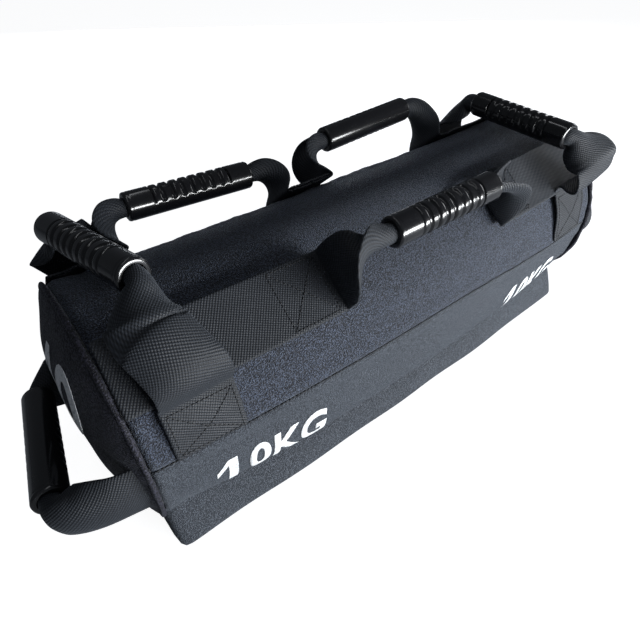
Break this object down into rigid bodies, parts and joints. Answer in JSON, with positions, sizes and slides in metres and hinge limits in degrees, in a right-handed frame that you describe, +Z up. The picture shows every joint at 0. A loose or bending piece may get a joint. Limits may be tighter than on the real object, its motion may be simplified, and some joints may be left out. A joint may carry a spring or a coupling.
{
  "type": "sandbag trainer",
  "caption": "Filled cylindrical training bag with webbing handles in ribbed grip tubes along its sides, over its top and at its ends, and a zipped slit under a flap.",
  "frame": {"origin": "on the floor under the middle of the bag's length, below its long axis", "axes": "+X along the bag, +Y to the back, away from the weight mark, +Z up"},
  "size_m": [0.6214, 0.2019, 0.2103],
  "materials": {
    "grained_fabric": "coated fabric with a pebbled grain and a soft sheen",
    "webbing": "ribbed woven webbing",
    "grip_plastic": "glossy moulded tube",
    "flap_fabric": "smooth coated fabric",
    "hook_and_loop": "napped",
    "foam": "closed-cell foam sheet",
    "liner_sheet": "satin sheet",
    "filling": "loose dry sand",
    "zip_coil": "satin coil",
    "zip_metal": "dark plated metal"
  },
  "bodies": {
    "bag": {"upper_cover": "grained_fabric", "lower_front_cover": "grained_fabric", "lower_back_cover": "grained_fabric", "left_end_panel": "grained_fabric", "right_end_panel": "grained_fabric", "left_end_welt": "grained_fabric", "right_end_welt": "grained_fabric", "foam_lining": "foam", "liner_bag": "liner_sheet", "liner_clamp": "zip_coil", "filling": "filling", "closing_facing": "flap_fabric", "loop_strip": "hook_and_loop", "zip_front_tape": "webbing", "zip_back_tape": "webbing", "zip_front_coil": "zip_coil", "zip_back_coil": "zip_coil", "front_band_left": "webbing", "front_band_right": "webbing", "back_band_left": "webbing", "back_band_middle": "webbing", "back_band_right": "webbing", "left_cross_handle_front_root": "webbing", "left_cross_handle_back_root": "webbing", "right_cross_handle_front_root": "webbing", "right_cross_handle_back_root": "webbing", "left_end_handle_front_root": "webbing", "left_end_handle_back_root": "webbing", "right_end_handle_front_root": "webbing", "right_end_handle_back_root": "webbing"},
    "flap": {"closing_flap": "flap_fabric", "hook_strip": "hook_and_loop", "flap_hem_left": "flap_fabric", "flap_hem_right": "flap_fabric"},
    "slider": {"zip_slider": "zip_metal"},
    "tab": {"pull_tab": "zip_metal"},
    "front_strap": {"front_handle_strap": "webbing"},
    "back_left_strap": {"back_left_handle_strap": "webbing"},
    "back_right_strap": {"back_right_handle_strap": "webbing"},
    "left_cross_strap": {"left_cross_handle_strap": "webbing"},
    "right_cross_strap": {"right_cross_handle_strap": "webbing"},
    "left_end_strap": {"left_end_handle_strap": "webbing"},
    "right_end_strap": {"right_end_handle_strap": "webbing"},
    "front_grip": {"front_handle_grip": "grip_plastic"},
    "back_left_grip": {"back_left_handle_grip": "grip_plastic"},
    "back_right_grip": {"back_right_handle_grip": "grip_plastic"},
    "left_cross_grip": {"left_cross_handle_grip": "grip_plastic"},
    "right_cross_grip": {"right_cross_handle_grip": "grip_plastic"},
    "left_end_grip": {"left_end_handle_grip": "grip_plastic"},
    "right_end_grip": {"right_end_handle_grip": "grip_plastic"}
  },
  "joints": [
    {"name": "flap_fold", "type": "hinge", "parent": "bag", "child": "flap", "pos_m": [0, -0.0193, 0.001], "axis": [1, 0, 0], "range_deg": [0, 95]},
    {"name": "zip_slide", "type": "slide", "parent": "bag", "child": "slider", "axis": [-1, 0, 0], "range_m": [0, 0.44]},
    {"name": "tab_pivot", "type": "hinge", "parent": "slider", "child": "tab", "pos_m": [0.2343, -0.026, 0.0041], "axis": [0, 1, 0], "range_deg": [0, 90]},
    {"name": "front_swing", "type": "hinge", "parent": "bag", "child": "front_strap", "pos_m": [0.004, -0.06647, 0.16164], "axis": [1, 0, 0], "range_deg": [-50, 80]},
    {"name": "back_left_swing", "type": "hinge", "parent": "bag", "child": "back_left_strap", "pos_m": [-0.117, 0.07139, 0.15778], "axis": [1, 0, 0], "range_deg": [-65, 65]},
    {"name": "back_right_swing", "type": "hinge", "parent": "bag", "child": "back_right_strap", "pos_m": [0.078, 0.07183, 0.15727], "axis": [1, 0, 0], "range_deg": [-75, 55]},
    {"name": "left_cross_swing", "type": "hinge", "parent": "bag", "child": "left_cross_strap", "pos_m": [-0.208, 0.006, 0.166], "axis": [0, 1, 0], "range_deg": [-12, 40]},
    {"name": "right_cross_swing", "type": "hinge", "parent": "bag", "child": "right_cross_strap", "pos_m": [0.208, -0.01, 0.166], "axis": [0, 1, 0], "range_deg": [-7, 75]},
    {"name": "left_end_swing", "type": "hinge", "parent": "bag", "child": "left_end_strap", "pos_m": [-0.272, 0, 0.06194], "axis": [0, 1, 0], "range_deg": [-95, 25]},
    {"name": "right_end_swing", "type": "hinge", "parent": "bag", "child": "right_end_strap", "pos_m": [0.272, 0, 0.06194], "axis": [0, -1, 0], "range_deg": [-95, 28]},
    {"name": "front_grip_turn", "type": "hinge", "parent": "front_strap", "child": "front_grip", "pos_m": [0.004, -0.08006, 0.18951], "axis": [1, 0, 0], "continuous": true},
    {"name": "back_left_grip_turn", "type": "hinge", "parent": "back_left_strap", "child": "back_left_grip", "pos_m": [-0.117, 0.08771, 0.17469], "axis": [0.9986, -0.0364, -0.0376], "continuous": true},
    {"name": "back_right_grip_turn", "type": "hinge", "parent": "back_right_strap", "child": "back_right_grip", "pos_m": [0.081, 0.08917, 0.18297], "axis": [0.9986, 0.0293, 0.0434], "continuous": true},
    {"name": "left_cross_grip_turn", "type": "hinge", "parent": "left_cross_strap", "child": "left_cross_grip", "pos_m": [-0.21839, 0.022, 0.19307], "axis": [-0.1757, 0.9785, -0.1077], "continuous": true},
    {"name": "right_cross_grip_turn", "type": "hinge", "parent": "right_cross_strap", "child": "right_cross_grip", "pos_m": [0.18907, -0.0165, 0.19303], "axis": [0.0789, 0.9969, -0.0064], "continuous": true},
    {"name": "left_end_grip_turn", "type": "hinge", "parent": "left_end_strap", "child": "left_end_grip", "pos_m": [-0.29518, 0, 0.07479], "axis": [0.1457, 0.9777, -0.1511], "continuous": true},
    {"name": "right_end_grip_turn", "type": "hinge", "parent": "right_end_strap", "child": "right_end_grip", "pos_m": [0.29561, 0, 0.07397], "axis": [0, 1, 0], "continuous": true}
  ]
}
